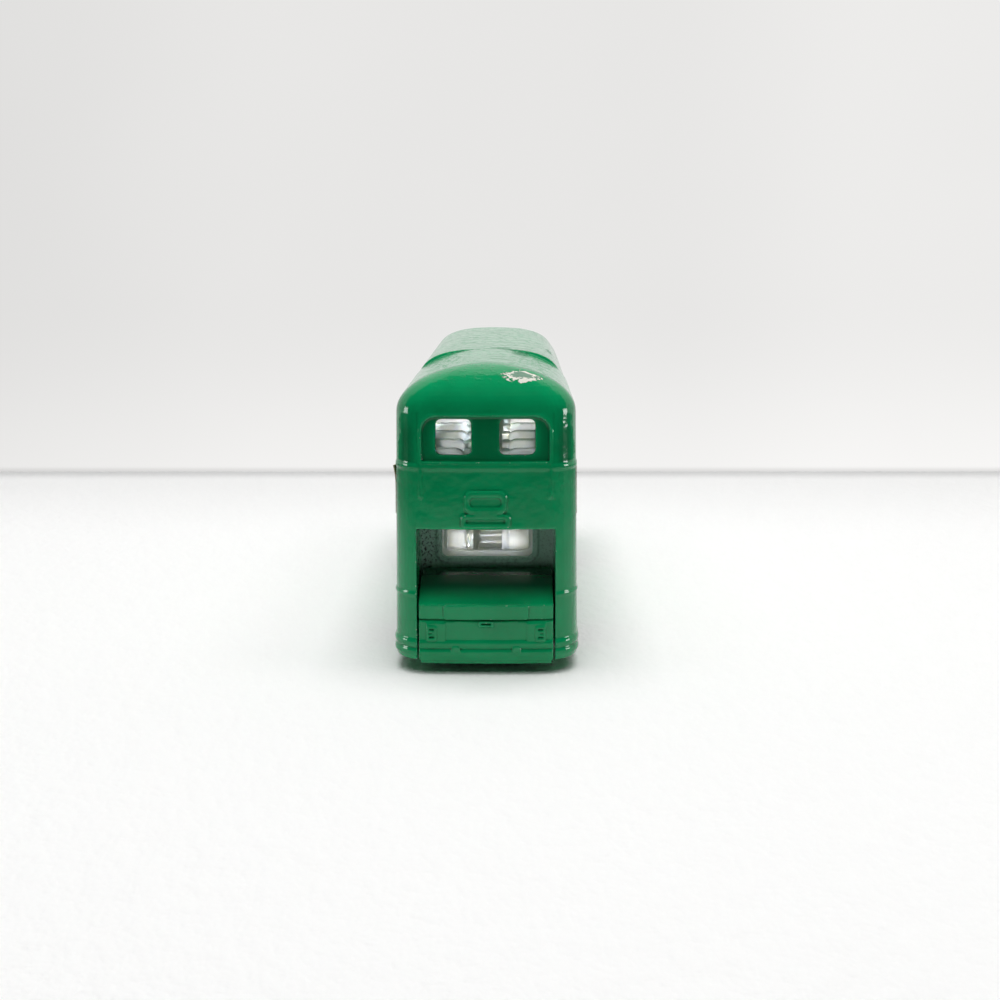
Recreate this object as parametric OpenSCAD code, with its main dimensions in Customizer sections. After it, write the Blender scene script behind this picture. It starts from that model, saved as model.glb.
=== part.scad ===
// Die-cast double-deck toy bus with a rear engine, about 1:120.
// Axes: +Y is the front of the bus, +X its right-hand side, +Z up, the ground at zero. Millimetres.

/* [Body casting] */
// Length of the body over its end panels, without the beads
body_length = 75.6; // [72:0.2:82]
// Width of the body at its lower edge, without the beads
body_width = 20.4; // [20:0.1:24]
// Height of the body's lower edge above the ground
ground_clearance = 1.5; // [1.2:0.1:2.2]
// Thickness of the cast walls
wall = 1.1; // [0.8:0.05:1.3]
// Draft of the walls in degrees
wall_draft = 0.7; // [0:0.1:1.2]
// Radius of the upright corners
corner_radius = 3.6; // [2.6:0.1:4.2]
// How far the end panels bulge at the middle
end_crown = 0.5; // [0.2:0.05:1]
// Height of the roof's curve above the side walls
roof_rise = 5.1; // [4:0.1:6.5]
// Length over which the roof curves down at the rear
rear_roof_run = 7.2; // [5:0.2:8.4]
// Length over which the roof curves down at the front
front_roof_run = 3.8; // [3:0.2:6]
// Distance of the step in the roof from the rear end
roof_step_from_rear = 26.8; // [22:0.2:32]
// How far the middle of the front roof lies below the rear roof
roof_step_drop = 0.06; // [0.02:0.02:0.3]

/* [Bands and windows] */
// Height of the lower bead over the body's lower edge
lower_bead_rise = 7.45; // [6.8:0.05:8.2]
// Height of the lower window sills over the lower bead
lower_sill_rise = 1.45; // [1.2:0.05:2]
// Height of the lower deck windows
lower_window_height = 5.9; // [4.8:0.1:6.4]
// Height of the panel between the lower windows and the waist bead
deck_panel_height = 6.8; // [6.4:0.1:8]
// Height of the upper window sills over the waist bead
upper_sill_rise = 1.3; // [0.9:0.05:1.8]
// Height of the upper deck windows
upper_window_height = 3.9; // [3:0.1:4.6]
// Height of the rail between the upper windows and the roof curve
cant_rail = 0.5; // [0.3:0.05:1]
// Number of upper windows on a side
upper_window_count = 6; // [4:1:7]
// Number of lower windows on a side, behind the door
lower_window_count = 5; // [3:1:6]
// Width of the pillars between the side windows
window_pillar = 1.3; // [0.9:0.1:2]
// Radius of the window corners
window_radius = 0.6; // [0.3:0.05:0.9]
// How far the side beads stand out
bead_out = 0.1; // [0.06:0.02:0.3]

/* [Rear end] */
// Width of the rear opening between the pillars
rear_opening_width = 15.2; // [13.6:0.1:15.6]
// Depth of the engine bay from the rear end to the bulkhead
engine_bay_depth = 8.4; // [7.4:0.1:9]
// Gap between the engine cover and the pillars
cover_gap = 0.2; // [0.15:0.05:0.5]
// Height of the engine cover's upright face over the body's lower edge
cover_face_height = 6.4; // [5.8:0.1:7]
// Height of the engine cover at the bulkhead over the body's lower edge
cover_top_height = 8.75; // [8.4:0.05:9.2]
// Width of the bulkhead window
bulkhead_window_width = 10.4; // [8.4:0.2:11.6]
// Width of each rear upper window
rear_window_width = 3.85; // [3:0.05:4.2]
// Width of the post between the rear upper windows
rear_post_width = 3.05; // [2.4:0.05:3.8]

/* [Running gear] */
// Diameter of the wheels
wheel_diameter = 9; // [8.2:0.1:9.6]
// Width of the wheels
wheel_width = 2.6; // [2:0.1:2.8]
// Distance between the axles
wheelbase = 41; // [38:0.5:43]
// Distance of the rear axle from the rear end
rear_overhang = 16; // [15.4:0.1:17]
// Diameter of the axles
axle_diameter = 1.4; // [1:0.05:1.6]
// Running clearance of the axles and wheels on the radius
running_clearance = 0.05; // [0.03:0.01:0.1]
// Distance of the wheel's outer face inside the body side
wheel_inset = 0.85; // [0.6:0.05:1.2]
// Clear space round a wheel in its arch
arch_clearance = 0.8; // [0.6:0.05:1.1]

/* [Decks and labels] */
// Distance between the upper seat rows
upper_seat_pitch = 7.3; // [7:0.1:9]
// Distance between the lower seat rows
lower_seat_pitch = 8.4; // [7.6:0.1:9]
// Thickness of the deck floors
floor_thickness = 0.9; // [0.7:0.05:1.2]
// Length of the paper side labels
label_length = 56; // [36:1:58]
// Height of the paper side labels
label_height = 5.4; // [4:0.1:5.6]
// Thickness of the paper labels
label_thickness = 0.12; // [0.08:0.01:0.2]

/* [Hidden] */
// Longest overrun of every cut, and the small joining overlap of fused pieces
overrun = 3;
weld = 0.2;
fit = 0.2;
glue_line = 0.01;
// Facet counts
corner_steps = 10;
end_steps = 6;
roof_steps = 15;
inner_roof_steps = 8;
bead_steps = 3;
cover_steps = 12;
radius_steps = 4;
round_fn = 48;
// Heights stacked from the ground
skirt_z = ground_clearance;
lower_bead_z = skirt_z + lower_bead_rise;
lower_sill_z = lower_bead_z + lower_sill_rise;
lower_head_z = lower_sill_z + lower_window_height;
waist_bead_z = lower_head_z + deck_panel_height;
upper_sill_z = waist_bead_z + upper_sill_rise;
upper_head_z = upper_sill_z + upper_window_height;
shoulder_z = upper_head_z + cant_rail;
roof_z = shoulder_z + roof_rise;
// Skirt beads on the lower edge
edge_round = 0.35;
skirt_bead_half = 0.42;
skirt_bead_out = 0.17;
low_skirt_bead_rise = 0.95;
skirt_bead_pitch = 1;
low_skirt_bead_z = skirt_z + low_skirt_bead_rise;
high_skirt_bead_z = low_skirt_bead_z + skirt_bead_pitch;
waist_bead_half = 0.34;
lower_bead_half = 0.24;
// Roof section
rear_roof_power = 2;
front_roof_power = 2.9;
roof_end_power = 2.2;
roof_top_share = 0.955;
front_narrow_share = 0.085;
roof_step_width = 0.3;
roof_step_y = roof_step_from_rear - body_length / 2;
// Rear end
rear_y = -body_length / 2;
bulkhead_thickness = 1;
bulkhead_y = rear_y + engine_bay_depth;
cover_half = rear_opening_width / 2 - cover_gap;
cover_wall = 1.2;
cover_start_angle = 34;
cover_z = skirt_z + cover_face_height;
cover_top_z = skirt_z + cover_top_height;
panel_recess = 0.3;
rear_recess_border = 1.55;
rear_recess_half = rear_post_width / 2 + rear_window_width + rear_recess_border;
rear_recess_radius = 1.6;
rear_recess_foot = 0.62;
recess_lip = 0.3;
relief = 0.26;
route_box_width = 4.5;
route_box_height = 2.46;
route_box_rise = 3;
route_box_z = lower_head_z + route_box_rise;
route_box_radius = 0.7;
route_rim = 0.43;
route_rail = 0.6;
frame_dip = 0.05;
step_bar_width = 5.3;
step_bar_height = 1.45;
step_bar_rise = 0.9;
step_bar_z = lower_head_z + step_bar_rise;
step_bar_radius = 0.4;
step_bar_rim = 0.42;
blind_dip = 0.1;
panel_line = 0.28;
panel_line_relief = 0.1;
panel_line_height = 3;
hatch_width = 9.3;
hatch_height = 1.6;
shut_line = 0.22;
shut_line_depth = 0.22;
shut_line_z = cover_z - hatch_height - shut_line;
catch_width = 1.65;
catch_height = 0.62;
catch_slot_width = 1.1;
catch_slot_height = 0.2;
pillar_groove = 2.6;
lamp_x = 6;
lamp_width = 1.05;
lamp_height = 1.6;
lamp_slot_width = 0.6;
lamp_slot_height = 0.2;
lamp_slot_count = 3;
lamp_slot_pitch = 0.43;
lamp_panel_x = 5.55;
lamp_panel_width = 2.05;
lamp_panel_drop = 0.22;
lamp_panel_relief = 0.1;
lamp_panel_top = shut_line_z - lamp_panel_drop;
lamp_panel_foot = high_skirt_bead_z;
lamp_drop = 1.4;
lamp_z = shut_line_z - lamp_drop;
lamp_relief = 0.22;
brow_depth = 0.12;
cover_lip = 0.3;
cover_lip_inset = 0.2;
rear_tab_x = 3.33;
rear_tab_width = 0.9;
rear_tab_height = 0.7;
bulkhead_sill_rise = 0.95;
bulkhead_window_sill = lower_sill_z + bulkhead_sill_rise;
bulkhead_rim = 0.62;
bulkhead_rim_gap = 0.26;
bulkhead_rim_out = 0.25;
// Front end
screen_width = 7;
screen_post = 1;
front_blind_width = 10.4;
front_blind_height = 3;
front_blind_rim = 0.5;
front_blind_lift = 0.3;
front_blind_z = lower_head_z + deck_panel_height / 2 + front_blind_lift;
head_lamp_radius = 1.05;
head_lamp_x = 6.5;
head_lamp_rise = 4.7;
head_lamp_z = skirt_z + head_lamp_rise;
fog_lamp_radius = 0.6;
fog_lamp_x = 4.2;
plate_width = 5;
plate_height = 1.1;
plate_rise = 4.3;
plate_z = skirt_z + plate_rise;
// Sides
upper_run_rear_margin = 4.8;
upper_run_front_margin = 6.4;
upper_run_rear = rear_y + upper_run_rear_margin;
upper_run_front = body_length / 2 - upper_run_front_margin;
upper_window_width = (upper_run_front - upper_run_rear - (upper_window_count - 1) * window_pillar)
    / upper_window_count;
lower_run_margin = 0.8;
lower_run_rear = bulkhead_y + bulkhead_thickness + lower_run_margin;
door_width = 7.6;
door_front_margin = 0.4;
door_front = body_length / 2 - corner_radius - door_front_margin;
door_rear = door_front - door_width;
door_foot = 1.6;
door_recess = 0.3;
door_leaf_gap = 0.9;
door_margin = 0.6;
door_rail_share = 0.45;
cab_sill_drop = 0.9;
lower_run_front = door_rear - window_pillar;
lower_window_width = (lower_run_front - lower_run_rear - (lower_window_count - 1) * window_pillar)
    / lower_window_count;
// Running gear
wheel_radius = wheel_diameter / 2;
axle_z = wheel_radius;
axle_radius = axle_diameter / 2;
bore_radius = axle_radius + running_clearance;
rear_axle_y = rear_y + rear_overhang;
front_axle_y = rear_axle_y + wheelbase;
wheel_out_x = body_width / 2 - wheel_inset;
wheel_in_x = wheel_out_x - wheel_width;
hub_recess = 0.55;
hub_back_recess = 0.9;
hub_radius = 1.6;
tyre_height = 1.5;
rim_radius = wheel_radius - tyre_height;
tyre_chamfer = 0.35;
tread_count = 30;
tread_width = 0.28;
tread_depth = 0.22;
tread_band_share = 0.5;
rim_groove = 0.16;
rim_groove_gap = 0.5;
rim_groove_radius = rim_radius + rim_groove_gap;
head_radius = 1.2;
head_disc = 0.25;
head_dome = 0.2;
head_dome_share = 0.6;
side_play = 0.1;
lug_width = 1.4;
lug_half = 1.6;
lug_gap = 0.15;
lug_out_x = wheel_in_x - lug_gap;
lug_wall = 0.65;
lug_top = bore_radius + lug_wall;
well_x = lug_out_x;
arch_radius = wheel_radius + arch_clearance;
// Base and posts
pan_thickness = 1.1;
pan_top = skirt_z + pan_thickness;
pan_rib_width = 0.8;
pan_rib_height = 0.5;
pan_rib_x = 3.2;
post_radius = 1.5;
shank_radius = 0.9;
post_hole_clearance = 0.05;
rivet_radius = 1.5;
rivet_thickness = 0.45;
rivet_recess = 0.5;
rivet_recess_radius = 1.8;
rear_post_y = bulkhead_y + bulkhead_thickness + post_radius - weld;
front_post_margin = 1.1;
front_post_y = body_length / 2 - wall - front_post_margin - post_radius;
front_post_height = 6.5;
rear_post_height = 7;
front_web = 1.2;
// Decks
lower_floor_z = axle_z + lug_top;
lower_floor_top = lower_floor_z + floor_thickness;
upper_floor_rise = 2.2;
upper_floor_z = lower_head_z + upper_floor_rise;
upper_floor_top = upper_floor_z + floor_thickness;
deck_gap = 0.3;
seat_back = 0.8;
seat_rake = 5;
cushion_depth = 3.4;
cushion_height = 2;
seat_corner = 0.9;
upper_seat_height = 5.2;
lower_seat_height = 8;
aisle_half = 2.4;
end_post_width = 0.95;
end_post_depth = 2.6;
end_post_drop = 0.35;
upper_row_margin = 4.6;
lower_row_margin = 2.9;
lower_end_gap = 0.5;
upper_first_row = rear_y + upper_row_margin;
lower_first_row = bulkhead_y + bulkhead_thickness + lower_row_margin;
lower_rear = rear_post_y + post_radius + lower_end_gap;
lower_front = front_post_y - post_radius - lower_end_gap;
upper_margin = 2.2;
seat_wall_gap = 0.5;
lower_seat_half = 4.8;
well_gap = 0.45;
aisle_rib = 0.3;
aisle_rib_width = 0.9;
aisle_rib_pitch = 4.2;
stair_width = 4;
stair_length = 7;
stair_margin = 1;
stair_y = lower_run_front - stair_length - stair_margin;
upper_rear = rear_y + wall + end_crown + upper_margin;
upper_front = body_length / 2 - wall - end_crown - upper_margin;
// As many rows as each deck's length takes
upper_rows = floor((upper_front - upper_first_row - cushion_depth) / upper_seat_pitch) + 1;
lower_rows = floor((stair_y - lower_first_row - cushion_depth) / lower_seat_pitch) + 1;
rear_frame_half = 5.9;
rear_frame_thickness = 0.7;
rear_frame_rim = 0.22;
cheek_width = 1;
cheek_margin = 0.25;
cheek_half = min(rear_frame_half, well_x - well_gap - cheek_margin);
cheek_rise = 0.6;
rear_frame_y = bulkhead_y + bulkhead_thickness + deck_gap;
rear_frame_foot = skirt_z + pan_thickness + rear_post_height + deck_gap;
cab_height = 4.5;
cab_depth = 1;
// Labels
label_lift = 0.25;
label_z = lower_head_z + deck_panel_height / 2 + label_lift;
label_y = -5;

enamel = "#0a5c35";
plastic_white = "#e4e4da";
steel = "#b8bcc0";
black = "#1c1c1e";
paper = "#e9dfc4";

// Half width and end reach of the drafted walls at a height
function half_width_at(z) = body_width / 2 - (min(z, shoulder_z) - skirt_z) * tan(wall_draft);
function end_reach_at(z) =
    body_length / 2 - end_crown - (min(z, shoulder_z) - skirt_z) * tan(wall_draft);

// One bead as stations of height, outward step and share of the roof's rise
function bead(z, half, out) = [for (i = [-bead_steps:bead_steps])
    let (a = 90 * i / bead_steps) [z + half * sin(a), out * cos(a), 0]];

function lower_stations() = concat(
    [[skirt_z, -edge_round, 0], [skirt_z + edge_round / 3, -edge_round / 3, 0]],
    bead(low_skirt_bead_z, skirt_bead_half, skirt_bead_out),
    bead(high_skirt_bead_z, skirt_bead_half, skirt_bead_out));

function roof_stations(rise, steps) = [for (i = [0:steps])
    let (s = sin(90 * roof_top_share * i / steps)) [shoulder_z + rise * s, 0, s]];

// Share of the width or the length that is left at a share of the roof's rise
function left_share(s, power) = pow(1 - pow(s, power), 1 / power);

function bulged(x, y, half) = y + sign(y) * end_crown * (1 - pow(x / half, 2));

function corner_points(cx, cy, r, start) = [for (i = [0:corner_steps])
    let (a = start + 90 * i / corner_steps) [cx + r * cos(a), cy + r * sin(a)]];

function end_points(cx, y) = [for (i = [1:end_steps - 1])
    [cx * (1 - 2 * i / end_steps), y]];

// The points of one end, from the roof's step round to the step
function half_ring(half, r, reach, start) =
    let (cx = half - r, cy = reach - r)
    concat([[half, start]],
        [for (p = concat(corner_points(cx, cy, r, 0), end_points(cx, reach),
            corner_points(-cx, cy, r, 90))) [p[0], bulged(p[0], p[1], half)]],
        [[-half, start]]);

// One level of the skin. Ahead of its step the roof is squarer and a little narrower
function ring(station, inset) =
    let (z = station[0], s = station[2],
        wide = half_width_at(z) + station[1] - inset,
        long = end_reach_at(z) + station[1] - inset,
        bend = corner_radius + station[1] - inset,
        rear_share = left_share(s, rear_roof_power),
        front_share = left_share(s, front_roof_power) * (1 - front_narrow_share * min(1, 2 * s)),
        fall = 1 - left_share(s, roof_end_power),
        front = half_ring(wide * front_share, bend * front_share,
            long - front_roof_run * fall, roof_step_width / 2 + roof_step_y),
        rear = half_ring(wide * rear_share, bend * rear_share,
            long - rear_roof_run * fall, roof_step_width / 2 - roof_step_y))
    concat([for (p = front) [p[0], p[1], z - roof_step_drop * s]],
        [for (p = rear) [-p[0], -p[1], z]]);

function cap_strip(c, k, n, base, flip) =
    let (l0 = base + (c + k) % n, r0 = base + (c - k + n) % n,
        l1 = base + (c + k + 1) % n, r1 = base + (c - k - 1 + n) % n,
        strip = k == 0 ? [l0, r1, l1] : k == n / 2 - 1 ? [l0, r0, r1] : [l0, r0, r1, l1])
    flip ? [for (i = [len(strip) - 1:-1:0]) strip[i]] : strip;

function flatten(rings) = [for (r = rings) for (p = r) p];

// Closed skin through a list of stations
module loft(stations, inset) {
    rings = [for (st = stations) ring(st, inset)];
    n = len(rings[0]);
    m = len(rings);
    sides = [for (i = [0:m - 2]) for (j = [0:n - 1]) for (h = [0:1])
        let (a = i * n + j, b = i * n + (j + 1) % n)
        h == 0 ? [a, a + n, b + n] : [a, b + n, b]];
    // The caps are strips between mirrored points, so each strip is flat
    c = corner_steps + end_steps / 2 + 1;
    foot = [for (k = [0:n / 2 - 1]) cap_strip(c, k, n, 0, true)];
    top = [for (k = [0:n / 2 - 1]) cap_strip(c, k, n, (m - 1) * n, false)];
    polyhedron(points = flatten(rings), faces = concat(foot, sides, top));
}

module outer_skin() {
    loft(concat(lower_stations(), bead(lower_bead_z, lower_bead_half, bead_out),
        bead(waist_bead_z, waist_bead_half, bead_out),
        roof_stations(roof_rise, roof_steps)), 0);
}

module inner_skin() {
    loft(concat([[skirt_z - overrun, 0, 0]],
        roof_stations(roof_rise - wall, inner_roof_steps)), wall);
}

// Plain drafted walls, set in or out, for what follows the skin
module wall_prism(inset) {
    loft([[skirt_z - overrun, 0, 0], [shoulder_z, 0, 0]], inset);
}

module skirt_skin() {
    loft(concat(lower_stations(), [[lower_head_z, 0, 0]]), 0);
}

function rounded_points(w, h, r) = [for (c = [0:3]) for (i = [0:radius_steps])
    let (a = 90 * c + 90 * i / radius_steps,
        sx = c == 0 || c == 3 ? 1 : -1,
        sy = c < 2 ? 1 : -1)
    [sx * (w / 2 - r) + r * cos(a), sy * (h / 2 - r) + r * sin(a)]];

module rounded(w, h, r) {
    polygon(rounded_points(w, h, r));
}

module along_y(from, to) {
    translate([0, to, 0]) rotate([90, 0, 0]) linear_extrude(to - from) children();
}

module along_x(from, to) {
    translate([from, 0, 0]) rotate([90, 0, 90]) linear_extrude(to - from) children();
}

// Prisms through the rear or front wall only
module rear_prism() {
    along_y(rear_y - overrun, rear_y + wall + end_crown + bead_out) children();
}

module rear_pad() {
    along_y(rear_y - overrun, rear_y + wall) children();
}

module front_pad() {
    along_y(-rear_y - wall, -rear_y + overrun) children();
}

module front_prism() {
    along_y(-rear_y - wall - end_crown - overrun / 3, -rear_y + overrun) children();
}

// Cut a recess of a set depth that follows the skin
module skin_recess(depth) {
    difference() {
        children();
        wall_prism(depth);
    }
}

// Raise a pad of a set height that follows the skin
module skin_pad(height) {
    intersection() {
        children();
        wall_prism(-height);
    }
}

module upper_side_windows() {
    for (i = [0:upper_window_count - 1])
        translate([upper_run_rear + upper_window_width / 2
            + i * (upper_window_width + window_pillar), upper_sill_z + upper_window_height / 2])
            rounded(upper_window_width, upper_window_height, window_radius);
}

module lower_side_windows() {
    for (i = [0:lower_window_count - 1])
        translate([lower_run_rear + lower_window_width / 2
            + i * (lower_window_width + window_pillar), lower_sill_z + lower_window_height / 2])
            rounded(lower_window_width, lower_window_height, window_radius);
}

module door_outline() {
    translate([door_rear, high_skirt_bead_z + door_foot])
        square([door_width, lower_head_z - high_skirt_bead_z - door_foot]);
}

module door_windows() {
    leaf = (door_width - door_leaf_gap) / 2 - door_margin;
    foot = high_skirt_bead_z + door_foot + door_margin;
    tall = lower_head_z - door_margin - foot;
    low = tall * door_rail_share - door_margin / 2;
    high = tall * (1 - door_rail_share) - door_margin / 2;
    for (side = [-1, 1])
        translate([door_rear + door_width / 2 + side * (door_leaf_gap + leaf) / 2, 0]) {
            translate([0, foot + low / 2]) rounded(leaf, low, window_radius);
            translate([0, foot + tall - high / 2]) rounded(leaf, high, window_radius);
        }
}

module cab_window() {
    translate([door_rear + door_width / 2, lower_head_z - (lower_window_height + cab_sill_drop) / 2])
        rounded(door_width, lower_window_height + cab_sill_drop, window_radius);
}

module rear_recess_outline(border) {
    half = rear_recess_half + border;
    foot = waist_bead_z + rear_recess_foot - border;
    top = upper_head_z + recess_lip + border;
    translate([0, foot + (top - foot) / 2])
        rounded(2 * half, top - foot, rear_recess_radius + border);
    translate([-half, foot])
        square([2 * half, rear_recess_radius + border]);
}

module rear_windows() {
    for (side = [-1, 1])
        translate([side * (rear_post_width + rear_window_width) / 2,
            upper_sill_z + upper_window_height / 2])
            rounded(rear_window_width, upper_window_height, window_radius);
}

module bulkhead_window_outline(border) {
    translate([0, (bulkhead_window_sill + lower_head_z) / 2])
        rounded(bulkhead_window_width + 2 * border,
            lower_head_z - bulkhead_window_sill + 2 * border, window_radius + border);
}

module screens(sill, height) {
    for (side = [-1, 1])
        translate([side * (screen_post + screen_width) / 2, sill + height / 2])
            rounded(screen_width, height, window_radius);
}

module rivet_post(y, height) {
    translate([0, y, pan_top]) cylinder(r = post_radius, h = height, $fn = round_fn);
    translate([0, y, skirt_z + rivet_recess - rivet_thickness])
        cylinder(r = shank_radius, h = pan_thickness + weld, $fn = round_fn);
    translate([0, y, skirt_z + rivet_recess - rivet_thickness])
        cylinder(r = rivet_radius, h = rivet_thickness, $fn = round_fn);
}

module body_hollow() {
    difference() {
        inner_skin();
        // The rear bay keeps thick pillars up to the upper floor
        translate([-body_width / 2, rear_y - overrun, skirt_z - 2 * overrun])
            cube([body_width, engine_bay_depth + bulkhead_thickness + overrun,
                upper_floor_z - skirt_z + 2 * overrun]);
    }
    translate([-rear_opening_width / 2, rear_y - overrun, skirt_z - overrun])
        cube([rear_opening_width, engine_bay_depth + overrun, lower_head_z - skirt_z + overrun]);
    translate([-rear_opening_width / 2, rear_y + wall + end_crown + bead_out, skirt_z])
        cube([rear_opening_width, engine_bay_depth - wall - end_crown - bead_out,
            upper_floor_z - skirt_z + weld]);
    // Passage of the base under the bulkhead
    translate([-rear_opening_width / 2, bulkhead_y - weld, skirt_z - overrun])
        cube([rear_opening_width, bulkhead_thickness + 2 * weld, overrun + pan_thickness + fit]);
}

module body_pads() {
    skin_pad(relief) rear_pad() {
        translate([0, route_box_z]) rounded(route_box_width, route_box_height, route_box_radius);
        translate([0, step_bar_z]) rounded(step_bar_width, step_bar_height, step_bar_radius);
    }
    skin_pad(panel_line_relief) rear_pad() {
        difference() {
            rear_recess_outline(panel_line);
            rear_recess_outline(0);
        }
        for (side = [-1, 1])
            translate([side * (rear_recess_half + panel_line / 2) - panel_line / 2,
                waist_bead_z - waist_bead_half - panel_line_height])
                square([panel_line, panel_line_height]);
    }
    skin_pad(relief) front_pad() {
        translate([0, front_blind_z])
            rounded(front_blind_width, front_blind_height, window_radius);
        translate([0, plate_z]) rounded(plate_width, plate_height, window_radius / 2);
        for (side = [-1, 1]) {
            translate([side * head_lamp_x, head_lamp_z]) circle(r = head_lamp_radius, $fn = round_fn);
            translate([side * fog_lamp_x, head_lamp_z - head_lamp_radius])
                circle(r = fog_lamp_radius, $fn = round_fn);
        }
    }
}

module body_shell() {
    color(enamel) difference() {
        union() {
            difference() {
                union() {
                    outer_skin();
                    body_pads();
                }
                body_hollow();
            }
            rivet_post(rear_post_y, rear_post_height);
            rivet_post(front_post_y, front_post_height);
            translate([-front_web / 2, front_post_y, pan_top])
                cube([front_web, body_length / 2 - wall / 2 - front_post_y, front_post_height]);
            along_y(bulkhead_y - bulkhead_rim_out, bulkhead_y + weld) difference() {
                bulkhead_window_outline(bulkhead_rim);
                bulkhead_window_outline(bulkhead_rim_gap);
            }
        }
        along_x(-body_width, body_width) upper_side_windows();
        along_x(-body_width, body_width) lower_side_windows();
        along_x(-body_width, 0) door_windows();
        along_x(0, body_width) cab_window();
        skin_recess(door_recess) along_x(-body_width, 0) door_outline();
        skin_recess(panel_recess) rear_prism() rear_recess_outline(0);
        rear_prism() rear_windows();
        skin_recess(-frame_dip) rear_pad() {
            translate([0, route_box_z])
                rounded(route_box_width - 2 * route_rim, route_box_height - 2 * route_rail,
                    route_box_radius - route_rim / 2);
            translate([0, step_bar_z])
                rounded(step_bar_width - 2 * step_bar_rim, step_bar_height - 2 * step_bar_rim,
                    step_bar_radius - step_bar_rim / 2);
        }
        skin_recess(-blind_dip) front_pad() translate([0, front_blind_z])
            rounded(front_blind_width - 2 * front_blind_rim,
                front_blind_height - 2 * front_blind_rim, window_radius / 2);
        skin_recess(shut_line_depth) rear_pad()
            for (side = [-1, 1])
                translate([side * rear_opening_width / 2 - pillar_groove / 2,
                    shut_line_z])
                    square([pillar_groove, shut_line]);
        front_prism() screens(lower_sill_z - cab_sill_drop, lower_window_height + cab_sill_drop);
        front_prism() screens(upper_sill_z, upper_window_height);
        along_y(bulkhead_y - overrun, bulkhead_y + bulkhead_thickness + overrun / 2)
            bulkhead_window_outline(0);
        for (y = [rear_axle_y, front_axle_y]) for (side = [-1, 1])
            translate([side * well_x, y, axle_z]) rotate([0, side * 90, 0])
                cylinder(r = arch_radius, h = body_width, $fn = round_fn);
    }
}

// Engine cover profile seen from the side, rising in one arc to the bulkhead
function cover_points() =
    let (run = engine_bay_depth - end_crown - fit,
        rise = cover_top_z - cover_z,
        lean = atan(rise / run),
        sweep = cover_start_angle - lean,
        r = sqrt(run * run + rise * rise) / (2 * sin(sweep)),
        y0 = rear_y + end_crown,
        cy = y0 + r * sin(cover_start_angle),
        cz = cover_z - r * cos(cover_start_angle))
    concat([[bulkhead_y - fit, skirt_z], [rear_y - overrun, skirt_z], [rear_y - overrun, cover_z],
        [y0, cover_z]],
        [for (i = [1:cover_steps])
            let (a = cover_start_angle - 2 * sweep * i / cover_steps)
            [cy - r * sin(a), cz + r * cos(a)]]);

module cover_block() {
    intersection() {
        along_x(-cover_half, cover_half) polygon(cover_points());
        skirt_skin();
    }
}

module cover_pads() {
    skin_pad(lamp_relief) rear_pad() {
        translate([0, shut_line_z + shut_line + hatch_height / 2])
            rounded(hatch_width, hatch_height, window_radius / 2);
        translate([0, shut_line_z - catch_height / 2])
            rounded(catch_width, catch_height, catch_height / 3);
        for (side = [-1, 1]) {
            translate([side * lamp_x, lamp_z]) rounded(lamp_width, lamp_height, window_radius / 3);
            translate([side * rear_tab_x, low_skirt_bead_z + skirt_bead_half])
                rounded(rear_tab_width, rear_tab_height, window_radius / 2);
        }
    }
    skin_pad(lamp_panel_relief) rear_pad()
        for (side = [-1, 1])
            translate([side * lamp_panel_x - lamp_panel_width / 2, lamp_panel_foot])
                square([lamp_panel_width, lamp_panel_top - lamp_panel_foot]);
}

// Lip of the base that shows below the skirt beads
module cover_foot() {
    intersection() {
        translate([-cover_half + cover_lip_inset, rear_y - overrun, skirt_z - cover_lip])
            cube([2 * (cover_half - cover_lip_inset), overrun + end_crown + cover_wall,
                cover_lip + weld]);
        wall_prism(cover_lip_inset);
    }
}

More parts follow.
